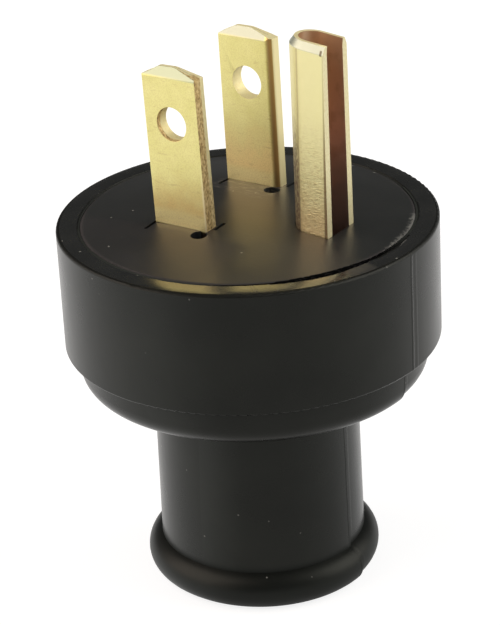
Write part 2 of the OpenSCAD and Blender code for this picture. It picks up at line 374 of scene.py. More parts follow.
def combine(piece, tool, operation):
    """Cuts a tool's shape from a piece or joins it on, and puts the tool away."""
    finish_with(piece, "BOOLEAN", object=tool, operation=operation, solver="EXACT")
    bpy.data.objects.remove(tool)


def drill(piece, place, radius, depth, turn=(0, 0, 0)):
    """Drills a round hole."""
    bpy.ops.mesh.primitive_cylinder_add(vertices=64, radius=radius, depth=depth, location=place,
                                        rotation=turn)
    combine(piece, bpy.context.object, "DIFFERENCE")


def to_metres(piece):
    """Shrinks a piece from millimetres to metres, with its place in its mesh."""
    choose(piece)
    piece.scale = (mm, mm, mm)
    bpy.ops.object.transform_apply(location=True, rotation=True, scale=True)


def tell(piece):
    """Prints a piece's faces and box."""
    corners = [piece.matrix_world @ Vector(corner) for corner in piece.bound_box]
    low = [round(min(corner[axis] for corner in corners), 3) for axis in range(3)]
    high = [round(max(corner[axis] for corner in corners), 3) for axis in range(3)]
    print(piece.name, len(piece.data.polygons), "faces from", low, "to", high)


print("bench ready")

# %% [markdown]
# A folded blade
#
# A blade of this plug is one strip of thin brass that is folded back on itself along its length, pressed
# flat, and trimmed: a round hole is punched, the tip is sheared to a low crown and coined to a bevel on
# both sides. The fold is on the left of the near blade. Pressing leaves one soft and one tight corner
# there, and on the other side the two layers show as two lines. It could be made from one sheet with a
# Solidify modifier, but the pressed fold isn't round, so a block is worked instead: its corners are
# bevelled, its tip is cut with planes along the crown, and the gap between the layers is sawn in.

# %% Block of the near blade with its fold
rim = rim_z / mm
terminal_z = 33.0
blade_x = -3.15
blade_y = -6.35
blade_width = 6.35
blade_thickness = 1.52
blade_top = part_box("line_blade")[1].z / mm
tight_corner = 0.15
soft_corner = 0.7
front_y = blade_y - blade_thickness / 2
left_x = blade_x - blade_width / 2
right_x = blade_x + blade_width / 2

blade = add_block("line_blade_brass", (left_x, front_y, terminal_z),
                  (right_x, front_y + blade_thickness, blade_top))


def upright_at(edge, x, y):
    """Whether an edge is a tall one that stands at x and y."""
    place = middle(edge)
    tall = abs(edge.verts[0].co.z - edge.verts[1].co.z) > 5
    return tall and abs(place.x - x) < 0.01 and abs(place.y - y) < 0.01


start_edit(blade)
for corner_y, corner, steps in ((front_y, tight_corner, 4), (front_y + blade_thickness, soft_corner, 10)):
    pick("EDGE", lambda edge: upright_at(edge, left_x, corner_y))
    bpy.ops.mesh.bevel(offset=corner, segments=steps, affect="EDGES")
end_edit()
tell(blade)

# %% Crowned and bevelled tip
bevel_height = 1.0
bevel_in = 0.52
crown_planes = [(-21.5, -3.175, 0.88), (-10, -1, 0.04), (0, 0, 0), (10, 1, 0.04), (21.5, 3.175, 0.88)]

start_edit(blade)
for side in (-1, 1):
    pick_all()
    cut_off((blade_x, blade_y + side * blade_thickness / 2, blade_top - bevel_height),
            (0, side * bevel_height, bevel_in))
for degrees, across, drop in crown_planes:
    angle = math.radians(degrees)
    pick_all()
    cut_off((blade_x + across, blade_y, blade_top - drop), (math.sin(angle), 0, math.cos(angle)))
end_edit()
tell(blade)

# %% Gap between the layers and the punched hole
fold_gap = 0.03
fold_x = blade_x - (blade_width - blade_thickness) / 2
hole_z = rim + 11.8
hole_radius = 1.75
saw = add_block("layer_saw", (fold_x, blade_y - fold_gap / 2, terminal_z - 5),
                (right_x + 2, blade_y + fold_gap / 2, blade_top + 5))
combine(blade, saw, "DIFFERENCE")
drill(blade, (blade_x, blade_y, hole_z), hole_radius, 4, (math.pi / 2, 0, 0))
tell(blade)

# %% [markdown]
# The terminal foot
#
# Inside the plug, the front layer of the strip is bent outwards to a foot that the terminal screw holds.
# The bend is a spin of the layer's lower end about the bend's axis, which is just what the press does, and
# the foot is extruded from there and trimmed to the round of the wiring chamber.

# %% Bend and trim the foot
chamber_radius = 14.15
screw_y = blade_y - blade_thickness / 2 - 3
screw_hole_radius = 1.66


def is_layer_end(face):
    """Whether a face is the lower end of the front layer."""
    place = middle(face)
    return place.z < terminal_z + 0.01 and place.x > fold_x and place.y < blade_y


def is_foot(face):
    """Whether a face is on the foot, in front of the layer."""
    return max(vert.co.y for vert in face.verts) < front_y + 0.01 and middle(face).z < terminal_z


start_edit(blade)
split_at((fold_x, 0, 0), (1, 0, 0))
split_at((0, 0, terminal_z + 3), (0, 0, 1))
pick("FACE", is_layer_end)
bpy.ops.mesh.spin(steps=8, angle=math.radians(90), center=(blade_x, front_y, terminal_z), axis=(1, 0, 0))
extrude(0, -chamber_radius - front_y, 0)
for step in range(-3, 1):
    angle = math.radians(8 * (step + 0.5))
    outwards = Vector((math.sin(angle), -math.cos(angle), 0))
    pick("FACE", is_foot)
    cut_off(outwards * chamber_radius, outwards)
end_edit()
drill(blade, (blade_x, screw_y, terminal_z), screw_hole_radius, 3)
tell(blade)

# %% [markdown]
# The ground prong
#
# The ground prong is a flat strip that is bent round to a channel, open away from the blades, with a bevel
# round its end so that it finds its hole. The bend could be an extruded outline, but here the front leg is
# a block whose end face is spun half a turn, as the strip is bent round a mandrel, and then drawn out to
# the back leg. At the end, the legs are drawn together a little and the cut is out of square, as on a much
# used plug.

# %% Bend the channel
channel_x = 8.75
channel_radius = 2.4
channel_wall = 0.85
channel_leg = 2.4
channel_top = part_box("ground_prong")[1].z / mm

channel = add_block("ground_prong_brass", (channel_x, -channel_radius, terminal_z),
                    (channel_x + channel_leg, channel_wall - channel_radius, channel_top))
start_edit(channel)
pick("FACE", lambda face: face.normal.x < -0.9)
bpy.ops.mesh.spin(steps=32, angle=math.radians(180), center=(channel_x, 0, 0), axis=(0, 0, 1))
extrude(channel_leg, 0, 0)
end_edit()
tell(channel)

# %% Bevel round its end, and its foot
end_bevel_height = 0.7
end_bevel_in = 0.45
end_tilt = 4.5
legs_drawn = 0.88
foot_start = 0.15
ground_screw_x = 3.35
channel_back = channel_x - channel_radius
end_centre = (channel_x, 0, channel_top)
shrink = (channel_radius - end_bevel_in) / channel_radius


def on_outer_edge(vert, bend):
    """Whether a point is on the outer edge of the channel's end, in its bend or else on a leg."""
    beside = Vector((min(vert.co.x - channel_x, 0), vert.co.y))
    outside = beside.length > channel_radius - 0.02
    return outside and vert.co.z > channel_top - 0.01 and (vert.co.x < channel_x + 0.01) == bend


start_edit(channel)
split_at((0, 0, channel_top - end_bevel_height), (0, 0, 1))
pick("VERT", lambda vert: on_outer_edge(vert, True))
resize((shrink, shrink, 1), end_centre)
pick("VERT", lambda vert: on_outer_edge(vert, False))
resize((1, shrink, 1), end_centre)
pick("VERT", lambda vert: vert.co.z > channel_top - end_bevel_height - 0.01)
resize((1, legs_drawn, 1), end_centre)
bpy.ops.transform.rotate(value=math.radians(-end_tilt), orient_axis="Y",
                         center_override=(channel_back, 0, channel_top))
end_edit()

foot = add_block("ground_foot", (foot_start, -channel_radius, terminal_z - channel_wall),
                 (channel_x, channel_radius, terminal_z + 0.02))
combine(channel, foot, "UNION")
drill(channel, (ground_screw_x, 0, terminal_z), screw_hole_radius, 3)
tell(channel)

# %% [markdown]
# Two halves of the mould
#
# The body is moulded between two halves that meet in the plane of the ground prong. They were set a little
# out of line, so below the drum the near half stands a quarter of a millimetre proud on the right, and the
# far half on the left. The step shows as a fine edge down the shoulder, the neck and the collar. The drawn
# outline of each half is spun half a turn about an axis that is a little off, and a Solidify modifier gives
# it thickness inwards, into the body that carries it.

# %% Spin the near half
mould_shift = 0.28
step_z = 26.3
under_z = 22.0
shoulder_radius = 18.0
shoulder_round = 2.2
neck_radius = 10.5
neck_fillet = 1.2
collar_radius = 12.2
collar_round = 2.05
collar_flat = 0.12


def arc_points(x, z, radius, start, end, steps):
    """Points along an arc in the plane of the outline, by angle in degrees."""
    angles = [math.radians(start + (end - start) * step / steps) for step in range(steps + 1)]
    return [(x + radius * math.cos(angle), z + radius * math.sin(angle)) for angle in angles]


draft = math.radians(3)
ring_z = under_z + shoulder_round
ring_x = shoulder_radius - (step_z - ring_z) * math.tan(draft) - shoulder_round / math.cos(draft)
outline = [(shoulder_radius, step_z - 0.01)]
outline += arc_points(ring_x, ring_z, shoulder_round, -3, -90, 12)
outline += arc_points(neck_radius + neck_fillet, under_z - neck_fillet, neck_fillet, 90, 180, 8)
outline += arc_points(collar_radius - collar_round, collar_round - collar_flat, collar_round, 74, -68, 20)

bpy.ops.mesh.primitive_plane_add(size=1, location=(outline[0][0] + mould_shift, 0, outline[0][1]))
near_half = settle("near_mould_half")
start_edit(near_half)
pick_all()
bpy.ops.mesh.merge(type="CENTER")
for (from_x, from_z), (to_x, to_z) in zip(outline, outline[1:]):
    extrude(to_x - from_x, 0, to_z - from_z)
pick_all()
bpy.ops.mesh.spin(steps=96, angle=math.radians(180), center=(mould_shift, 0, 0), axis=(0, 0, 1))
pick_all()
bpy.ops.mesh.remove_doubles(threshold=0.0001)
bpy.ops.mesh.normals_make_consistent(inside=False)
end_edit()
tell(near_half)

# %% [markdown]
# The burnished rim
#
# The top of the rim is rubbed as smooth as lacquer, much glossier than the rest of the body, and carries
# the last skin of the mould: a thin flash whose inner edge is ragged where it was trimmed along the seam.
# It could be a bump, but a ragged edge needs real points. A circle is drawn inwards over a very low crown,
# its inner edge is shaken a little, and it is torn back at the front right.

# %% Helpers for thin rings
def add_ring(name, vertices, radius, height):
    """A circle that is open in edit mode, with all its edges picked."""
    bpy.ops.mesh.primitive_circle_add(vertices=vertices, radius=radius, location=(0, 0, height))
    ring = settle(name)
    start_edit(ring)
    pick("EDGE", lambda edge: True)
    return ring


def close_ring(ring, thickness):
    """Turns a ring's faces up, leaves edit mode and gives the ring a thickness downwards."""
    pick_all()
    bpy.ops.mesh.normals_make_consistent(inside=False)
    pick("FACE", lambda face: face.normal.z < 0)
    bpy.ops.mesh.flip_normals()
    end_edit()
    finish_with(ring, "SOLIDIFY", thickness=thickness, offset=-1)


def axis_distance(vert):
    """Distance of a point from the axis."""
    return math.hypot(vert.co.x, vert.co.y)


def seam_bearing(vert):
    """Direction of a point from the axis, in degrees from +x."""
    return math.degrees(math.atan2(vert.co.y, vert.co.x))


print("ring helpers ready")

# %% Ring of the burnished rim
rim_outside = 18.9
rim_inside = 17.13
skin_z = rim + 0.02
edge_limit = 17.55
flat_limit = 17.74
rim_crown = [(rim_outside, 0), (18.72, 0.026), (18.45, 0.045), (18.1, 0.046), (17.75, 0.034), (rim_inside, 0)]

rim_skin = add_ring("burnished_rim", 512, rim_outside, skin_z)
for (from_radius, from_rise), (ring_radius, rise) in zip(rim_crown, rim_crown[1:]):
    extrude(0, 0, rise - from_rise)
    factor = ring_radius / from_radius
    resize((factor, factor, 1), (0, 0, rim))
pick("VERT", lambda vert: axis_distance(vert) < rim_inside + 0.01)
bpy.ops.transform.vertex_random(offset=0.05, seed=4)
for start, end, growth in ((-48, 12, 1.010), (-36, -22, 1.008), (-10, 4, 1.010), (24, 40, 1.006)):
    pick("VERT", lambda vert: axis_distance(vert) < edge_limit and start < seam_bearing(vert) < end)
    resize((growth, growth, 1), (0, 0, rim))
    bpy.ops.transform.vertex_random(offset=0.06, seed=7)
pick("VERT", lambda vert: axis_distance(vert) < flat_limit)
resize((1, 1, 0), (0, 0, skin_z))
close_ring(rim_skin, 0.05)
bpy.ops.object.shade_smooth_by_angle(angle=math.radians(30))
tell(rim_skin)

# %% [markdown]
# Painted shade in the seam
#
# The gap between the carrier and the rim is painted as shade: a ring sunk a little in it shows as a dull
# black line. It is thin on the left. At the front right, where the edge of the carrier has crumbled, it is
# wide and ragged. It is a second ring, a little sunk, whose edges are drawn apart and shaken on that side.

# %% Ring of painted seam shade
seam_outside = 17.15
seam_inside = 16.85
seam_middle = 17.0

# A black ring sunk in the seam, which paints the shade of its gap.
seam_shade_ring = add_ring("painted_seam_shade", 720, seam_outside, rim - 0.09)
extrude(0, 0, 0)
resize((seam_inside / seam_outside, seam_inside / seam_outside, 1), (0, 0, rim))
for start, end, lift in ((-140, 55, 0.05), (-120, 16, 0.05), (-44, 12, 0.04)):
    pick("VERT", lambda vert: start < seam_bearing(vert) < end)
    bpy.ops.transform.translate(value=(0, 0, lift))
for start, end, apart in ((-130, 10, 0.0015), (-46, -13, 0.004), (-41, -17, 0.004), (-36, -21, 0.003)):
    for outer in (False, True):
        pick("VERT", lambda vert: start < seam_bearing(vert) < end
             and (axis_distance(vert) > seam_middle) == outer)
        factor = 1 + apart if outer else 1 - apart
        resize((factor, factor, 1), (0, 0, rim))
pick("VERT", lambda vert: -46 < seam_bearing(vert) < 12)
bpy.ops.transform.vertex_random(offset=0.09, seed=11)
resize((1, 1, 0.15), (0, 0, rim + 0.06))
close_ring(seam_shade_ring, 0.03)
tell(seam_shade_ring)

# %% [markdown]
# Copies and softened edges
#
# The far blade and the far half of the mould are the near ones turned half round, so they are copies. Both
# blades were nipped off with the crown a little to the left, so the points of the crown are moved there
# afterwards. Tumbling takes the sharpness off all edges of the brass: a narrow bevel does the same.
# Weighted normals keep the large faces flat, and the border of the coined bevel is marked sharp so that it
# mirrors the lamp evenly.

# %% Copies and softened edges
crown_shift = -0.35
edge_bevel = 0.05


def half_turn_copy(piece, name, x):
    """A copy of a piece that is turned half round about an upright axis at x."""
    choose(piece)
    bpy.ops.object.duplicate()
    copy = bpy.context.object
    copy.name = name
    start_edit(copy)
    pick_all()
    bpy.ops.transform.rotate(value=math.pi, orient_axis="Z", center_override=(x, 0, 0))
    end_edit()
    return copy


def is_coined(face):
    """Whether a face has the slope of the coined bevel."""
    return 0.86 < abs(face.normal.y) < 0.92 and face.normal.z > 0.4


far_blade = half_turn_copy(blade, "neutral_blade_brass", blade_x)
for piece in (blade, far_blade):
    start_edit(piece)
    pick("VERT", lambda vert: vert.co.z > blade_top - 0.5)
    bpy.ops.transform.translate(value=(crown_shift, 0, 0))
    end_edit()
for piece in (blade, far_blade, channel):
    finish_with(piece, "BEVEL", width=edge_bevel, segments=2, limit_method="ANGLE",
                angle_limit=math.radians(35))
    bpy.ops.object.shade_smooth_by_angle(angle=math.radians(13))
    start_edit(piece)
    if pick("FACE", is_coined):
        bpy.ops.mesh.region_to_loop()
        bpy.ops.mesh.mark_sharp()
    end_edit()
    finish_with(piece, "WEIGHTED_NORMAL", weight=100, keep_sharp=True)
finish_with(near_half, "SOLIDIFY", thickness=0.5, offset=-1)
bpy.ops.object.shade_smooth_by_angle(angle=math.radians(30))
far_half = half_turn_copy(near_half, "far_mould_half", 0)
tell(far_half)

# %% [markdown]
# A slight lean
#
# Use has pushed the prongs a little out of upright and the near blade deeper in, so what stands out of the
# slots is leaned and lowered. The whole object could be turned instead, but then the terminal feet, which
# the screws hold, would move too. Last, the pieces are shrunk to metres and tied to the plug's one body.

# %% Lean the prongs and set the pieces in place
near_lean = 2.0
far_lean = 0.9
ground_lean = 0.85
near_pivot = rim + 6
far_pivot = rim + 5
ground_pivot = rim + 12.5
near_sink = 0.26


def lean(piece, degrees, x, pivot, sink=0.0):
    """Leans what stands out of a slot towards -x, about an axis along y at x and a height, and sinks it."""
    start_edit(piece)
    pick("VERT", lambda vert: vert.co.z > terminal_z + 2.9)
    bpy.ops.transform.rotate(value=math.radians(degrees), orient_axis="Y", center_override=(x, 0, pivot))
    bpy.ops.transform.translate(value=(0, 0, -sink))
    end_edit()


lean(blade, near_lean, blade_x, near_pivot, near_sink)
lean(far_blade, far_lean, blade_x, far_pivot)
lean(channel, -ground_lean, channel_x, ground_pivot)
for piece in (blade, far_blade, channel, near_half, far_half, rim_skin, seam_shade_ring):
    to_metres(piece)
    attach(piece, "root")
    tell(piece)
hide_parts("line_blade")
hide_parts("neutral_blade")
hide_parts("ground_prong")

# %% [markdown]
# Tools for finishes
#
# All finishes are procedural: they read the place on the part, in millimetres, and never a picture. A
# number that is the same all over a surface is set on the shader's own socket, and only what varies is
# linked to it.

# %% Helpers for finishes
def new_finish(name, **constants):
    """A finish with the shader's plain sockets set by name. Gives the finish, its tree and its shader."""
    finish = bpy.data.materials.new(name)
    finish.use_nodes = True
    tree = finish.node_tree
    shader = tree.nodes["Principled BSDF"]
    for socket, value in constants.items():
        feed(shader.inputs[socket.replace("_", " ")], value)
    return finish, tree, shader


def add_places(tree, stretch=(1, 1, 1)):
    """Places on the part in millimetres, times a stretch along each axis."""
    place = add_node(tree, "ShaderNodeTexCoord").outputs["Object"]
    scale = [factor / mm for factor in stretch]
    return add_node(tree, "ShaderNodeMapping", Vector=place, Scale=scale).outputs["Vector"]


def split_places(tree):
    """The x, y and z of the place in millimetres."""
    node = add_node(tree, "ShaderNodeSeparateXYZ", Vector=add_places(tree))
    return node.outputs["X"], node.outputs["Y"], node.outputs["Z"]


def spread(value, start, end, low=0.0, high=1.0):
    """Spreads a value smoothly from low at start to high at end."""
    node = join_node("ShaderNodeMapRange", value, start, end, low, high, interpolation_type="SMOOTHSTEP")
    return node.outputs["Result"]


def add_noise(tree, scale, detail=3.0, stretch=(1, 1, 1), distortion=0.0):
    """Noise from 0 to 1, with a scale per millimetre."""
    node = add_node(tree, "ShaderNodeTexNoise", Vector=add_places(tree, stretch), Scale=scale, Detail=detail,
                    Distortion=distortion)
    return node.outputs["Fac"]


def add_specks(tree, scale, radius):
    """A mask of small round specks, with cells per millimetre and a radius in millimetres."""
    node = add_node(tree, "ShaderNodeTexVoronoi", Vector=add_places(tree), Scale=scale)
    return spread(node.outputs["Distance"], radius * scale, 0.6 * radius * scale)


def add_bump(height, depth, below=None):
    """A bump of a depth in millimetres, on top of another one."""
    node = add_node(height.id_data, "ShaderNodeBump", Height=height, Strength=1.0, Distance=depth * mm)
    if below is not None:
        feed(node.inputs["Normal"], below)
    return node.outputs["Normal"]


def wire(shader, colour, roughness, normal):
    """Links what varies to the shader."""
    feed(shader.inputs["Base Color"], colour)
    feed(shader.inputs["Roughness"], roughness)
    feed(shader.inputs["Normal"], normal)


print("finish helpers ready")

# %% [markdown]
# Moulded rubber of the shell
#
# The shell is soft black rubber with a dull sheen. Handling leaves it a little greyer in patches and dusty,
# and a thin line of flash runs up the drum where the halves of the mould meet, on the plane y = 0. The
# patches are slow noise in colour and roughness, the dust is the cells of a Voronoi texture, and the line
# is a ridge in the bump across y. The line is too thin and too soft to be worth a shape of its own.

# %% Shell finish
shell_rubber, tree, shader = new_finish("shell_rubber_finish", Specular_IOR_Level=0.3,
                                        Specular_Tint=(0.96, 1, 0.93))
x, y, z = split_places(tree)
haze = add_noise(tree, 0.13, 5)
grain = add_noise(tree, 2.5, 3)
waves = add_noise(tree, 0.3, 2)
from_parting = plus(y, add_noise(tree, 0.5, 2), 0.16)
from_second = add_math("SUBTRACT", from_parting, 0.75)
ridge = spread(add_math("ABSOLUTE", from_parting), 0.22, 0.06)
second_ridge = spread(add_math("ABSOLUTE", from_second), 0.3, 0.05, 0, 0.4)
ridge = times(add_math("MAXIMUM", ridge, second_ridge), spread(z, rim - 0.2, rim - 0.5))
collar = spread(z, 4.8, 4.0)
dusty = spread(add_noise(tree, 0.11, 2), 0.46, 0.62)
dust = times(add_specks(tree, 0.5, 0.12), dusty)
colour = add_ramp(haze, [(0.35, (0.0050, 0.0055, 0.0048)), (0.72, (0.0112, 0.0120, 0.0104))])
colour = add_mix(ridge, colour, (0.002, 0.002, 0.002), 0.3)
colour = add_mix(collar, colour, (0.002, 0.0034, 0.003), 0.6)
colour = add_mix(dust, colour, (0.16, 0.16, 0.15))
roughness = plus(0.2, haze, 0.16)
roughness = plus(roughness, collar, 0.16)
roughness = plus(roughness, spread(z, rim - 0.4, rim - 0.2), 0.2)
normal = add_bump(grain, 0.0015)
normal = add_bump(waves, 0.012, normal)
normal = add_bump(ridge, 0.03, normal)
wire(shader, colour, roughness, normal)
nodes["rubber_shell"].material_slots[0].material = shell_rubber
for piece in (near_half, far_half):
    piece.data.materials.append(shell_rubber)
print("finished", shell_rubber.name)

# %% [markdown]
# Burnished rubber of the rim
#
# Rubbing and an oily film make the rim reflect far more than the body, so its shader gets a higher index of
# refraction. It stays black, because what it mirrors towards the viewer is the dark room and the brass. Its
# inner edge is chipped to a grey line at the right, and in front of that it is duller. The ring of painted
# shade in the seam reflects nothing: black at the front right, and grey elsewhere.

# %% Rim finish
def from_axis(x, y):
    """The distance from an upright axis in millimetres."""
    return add_math("SQRT", add_math("MULTIPLY_ADD", x, x, times(y, y)))


def facing_side(x, y, azimuth, width):
    """A mask of the part of a ring that lies towards an azimuth from +x, within a width in degrees."""
    along_x = times(x, math.cos(math.radians(azimuth)))
    along = plus(along_x, y, math.sin(math.radians(azimuth)))
    share = add_math("DIVIDE", along, from_axis(x, y))
    return spread(share, math.cos(math.radians(width)), math.cos(math.radians(0.5 * width)))


rim_rubber, tree, shader = new_finish("rim_rubber_finish", IOR=2.25)
x, y, z = split_places(tree)
cloud = add_noise(tree, 0.25, 2)
scuffs = add_noise(tree, 0.9, 3)
ragged = plus(from_axis(x, y), add_noise(tree, 1.2, 3), 0.5)
chips = times(spread(ragged, 17.72, 17.62), facing_side(x, y, 1, 8))
colour = add_ramp(cloud, [(0.35, (0.009, 0.0100, 0.009)), (0.7, (0.015, 0.0160, 0.0145))])
colour = add_mix(chips, colour, (0.12, 0.118, 0.108))
colour = add_mix(add_specks(tree, 0.45, 0.15), colour, (0.2, 0.2, 0.18))
roughness = plus(0.17, scuffs, 0.16)
roughness = plus(roughness, facing_side(x, y, -19, 6), 0.24)
wire(shader, colour, roughness, add_bump(cloud, 0.012))
rim_skin.data.materials.append(rim_rubber)
print("finished", rim_rubber.name)

# %% Painted seam shade finish
seam_shade_finish, tree, shader = new_finish("painted_seam_shade_finish", Specular_IOR_Level=0.0)
x, y, z = split_places(tree)
# Painted shade: black at the front right, grey on the left and back, with no reflection.
seam_shade_noise = add_noise(tree, 4.0, 4)
colour = add_ramp(seam_shade_noise, [(0.42, 0.0012), (0.58, 0.004), (0.7, 0.018)])
colour = add_mix(facing_side(x, y, -30, 46), (0.030, 0.033, 0.030), colour)
wire(shader, colour, spread(seam_shade_noise, 0.3, 0.7, 0.98, 0.85), add_bump(seam_shade_noise, 0.02))
seam_shade_ring.data.materials.append(seam_shade_finish)
print("finished", seam_shade_finish.name)

# %% [markdown]
# Hard rubber of the carrier
#
# The carrier is a harder, satin rubber with a fine grain, so the prongs show in it as soft brown columns.
# On the right its edge is chafed to a grey facet that crumbles inwards. The facet is a mask of the distance
# from the axis, drawn inwards on that side by the share of the direction in x and y, and broken up by
# noise. Before the far blade the face is scraped, and before the near one and along its edge it is duller.

# %% Carrier finish
carrier_rubber, tree, shader = new_finish("carrier_rubber_finish", IOR=1.75, Specular_Tint=(1, 0.87, 0.94))
x, y, z = split_places(tree)
cloud = add_noise(tree, 0.2, 4)
grain = add_noise(tree, 2.2, 5)
radius = from_axis(x, y)
drawn_in = plus(radius, facing_side(x, y, 14, 22), 0.75)
drawn_in = plus(drawn_in, add_noise(tree, 2.5, 4), 1.5)
chafed = spread(drawn_in, 17.75, 18.3)
scrapes = spread(add_noise(tree, 3.2, 4, (0.25, 1.6, 1)), 0.49, 0.62, 0, 0.8)
before_far = times(spread(y, 1.5, 3.5), spread(x, 1.2, 0.2), spread(x, -7.5, -6.5), spread(y, 6.4, 5.8))
before_near = times(spread(y, -7.2, -8.5), spread(x, 7, 4))
colour = add_ramp(cloud, [(0.3, (0.0170, 0.0204, 0.0186)), (0.7, (0.0214, 0.0250, 0.0230))])
colour = add_mix(chafed, colour, (0.14, 0.146, 0.13))
colour = add_mix(times(scrapes, before_far), colour, (0.12, 0.11, 0.09))
colour = add_mix(add_specks(tree, 0.42, 0.14), colour, (0.22, 0.22, 0.19))
roughness = plus(0.29, cloud, 0.14)
roughness = plus(roughness, spread(radius, 16.4, 16.7), 0.35)
roughness = plus(roughness, before_near, 0.13)
wire(shader, colour, roughness, add_bump(grain, 0.008))
nodes["contact_carrier"].material_slots[0].material = carrier_rubber
print("finished", carrier_rubber.name)

# %% [markdown]
# Rolled brass of the blades
#
# The strip is pale rolled brass with faint streaks along its length. Low down it is browner: fingers and
# flux leave a stain there that is blotchy and a little rougher, and it ends in a brighter foot. A stain
# like this could be painted, but a slow noise that grows towards the base gives the same soft edge on both
# blades. A painted highlight runs down the near blade's right edge. The far blade's fold has painted shade
# in its bend and a painted highlight on its back, and the coined tips are paler than the faces. At the very
# base, where the blades go down into their slots, painted shade with some grime darkens them.

# %% Blade finish, rolled faces and stain
blade_brass, tree, shader = new_finish("blade_brass_finish", Metallic=0.8)
x, y, z = split_places(tree)
on_near = spread(y, 1, -1)
on_far = spread(y, -1, 1)
blotch = add_noise(tree, 0.55, 5)
streaks = add_noise(tree, 7.0, 3, (1, 1, 0.05))
speckle = add_noise(tree, 7.0, 2)
scratches = add_noise(tree, 3.0, 4, (0.25, 0.25, 1))
ragged_z = plus(plus(z, blotch, 5.0), on_far, -1.5)
bright_foot = spread(z, rim + 2.9, rim + 1.8)
stain = times(spread(ragged_z, rim + 9.5, rim + 3.5), plus(1, bright_foot, -0.8))
stained = add_mix(on_far, (0.82, 0.59, 0.25), (1.0, 0.785, 0.37))
colour = add_ramp(blotch, [(0.3, (0.79, 0.735, 0.29)), (0.7, (0.86, 0.80, 0.345))])
colour = add_mix(stain, colour, stained, 0.8)
colour = add_mix(bright_foot, colour, (1.0, 0.88, 0.46), 0.6)
colour = add_mix(spread(speckle, 0.35, 0.75, 0, 0.28), colour, (0.52, 0.40, 0.16))
colour = add_mix(spread(scratches, 0.6, 0.72, 0, 0.25), colour, (0.45, 0.33, 0.14))
print("stained the faces of", blade_brass.name)

# %% Blade finish, painted edge highlight, painted shade and highlight of the fold, coined tip
def upright(x, z, degrees, pivot):
    """The x that a place on a prong had before the prong was leaned about a height."""
    return plus(x, add_math("SUBTRACT", z, pivot), math.tan(math.radians(degrees)))


fold_back = right_x - edge_bevel
near_x = upright(x, z, near_lean, near_pivot)
far_x = upright(x, z, far_lean, far_pivot)
far_only = spread(y, 0, 1)
# Painted highlight: a pale line down the near blade's right edge.
edge_highlight = times(spread(near_x, right_x - 0.32, right_x - 0.12), on_near, spread(z, rim + 8, rim + 4, 0, 0.55))
# Painted shade in the far blade's bend, and a painted highlight on the back of its fold.
bend_shade = times(spread(far_x, fold_back - 0.62, fold_back - 0.25),
                spread(far_x, fold_back + 0.02, fold_back - 0.06), far_only)
fold_highlight = times(spread(far_x, fold_back - 0.05, fold_back + 0.02), far_only)
at_fold = times(spread(far_x, fold_back - 0.8, fold_back - 0.6), far_only)
coined = spread(plus(z, on_near, near_sink), blade_top - 1.12, blade_top - 0.85)
coined = times(coined, add_math("SUBTRACT", 1, at_fold))
coined_brass = add_mix(on_far, (0.50, 0.555, 0.385), (0.55, 0.58, 0.45))
# Painted shade with some grime: the blades turn dark at the base, where they go down into the slots.
root = spread(z, rim + 0.95, rim + 0.72)
colour = add_mix(edge_highlight, colour, (1.0, 0.90, 0.62))
colour = add_mix(bend_shade, colour, (0.44, 0.24, 0.08), 0.9)
colour = add_mix(fold_highlight, colour, (0.90, 0.80, 0.44))
colour = add_mix(coined, colour, coined_brass)
colour = add_mix(root, colour, (0.02, 0.014, 0.008))
roughness = plus(0.34, streaks, 0.10)
roughness = plus(roughness, stain, 0.08)
roughness = plus(roughness, root, 0.4)
normal = add_bump(streaks, 0.0006)
normal = add_bump(blotch, 0.006, normal)
wire(shader, colour, roughness, normal)
print("finished", blade_brass.name)

# %% [markdown]
# Sheared edges
#
# Where the strip was sheared, the edge is torn rather than rolled: brown, rough and finely speckled. This
# finish goes on the blade's open side, on its tip and on the wall of the punched hole. The near layer of
# the line blade and the lip of its hole are torn most, so the rest gets a paler mix, which browns only near
# the base. One finish with masks by place serves all of these edges.

# %% Sheared finish
sheared_brass, tree, shader = new_finish("sheared_brass_finish", Metallic=0.4)
x, y, z = split_places(tree)
tears = add_noise(tree, 4.5, 3, (1, 1, 0.6))
torn = add_ramp(tears, [(0.34, (0.42, 0.27, 0.11)), (0.5, (0.74, 0.545, 0.235)),
                        (0.66, (0.94, 0.75, 0.39))])
clean = add_ramp(tears, [(0.3, (0.90, 0.80, 0.43)), (0.7, (0.97, 0.90, 0.54))])
clean = add_mix(spread(z, rim + 7.5, rim + 3.5, 0, 0.75), clean, torn)
past_lip = times(spread(y, front_y + 0.42, front_y + 0.56), spread(x, right_x - 0.9, right_x - 1.4))
far_layer = add_math("MAXIMUM", spread(y, blade_y + 0.15, blade_y + 0.3), past_lip)
colour = add_mix(far_layer, torn, clean)
roughness = spread(tears, 0.3, 0.7, 0.6, 0.46)
wire(shader, colour, roughness, add_bump(tears, 0.006))
print("finished", sheared_brass.name)

# %% [markdown]
# Brass of the ground prong
#
# Bending round the mandrel wrinkled the strip: fine short ripples lie across the prong, mostly in its lower
# half, with specks of tarnish, and the bend itself is dark low down. The ripples are stretched noise in the
# bump, and in the colour as painted shade in their creases and painted glints beside them, because a bump
# alone is lost on so small a prong. The inside was never polished after it was annealed, and stayed
# red-brown. The ends of the two legs are sheared but clean.

# %% Ground prong finish, ripples with painted shade and glints, and spots
channel_brass, tree, shader = new_finish("channel_brass_finish", Metallic=0.8)
x, y, z = split_places(tree)
blotch = add_noise(tree, 0.5, 5)
ripples = add_noise(tree, 6.5, 3, (0.45, 0.45, 1), 0.7)
speckle = add_noise(tree, 3.5, 3, (1, 1, 0.6))
lower = spread(z, rim + 15, rim + 4)
stain = spread(plus(z, blotch, 5.0), rim + 9.5, rim + 2.5)
spots = times(spread(speckle, 0.4, 0.62), lower, spread(x, channel_x - 0.4, channel_x - 1.6, 0.12, 0.75))
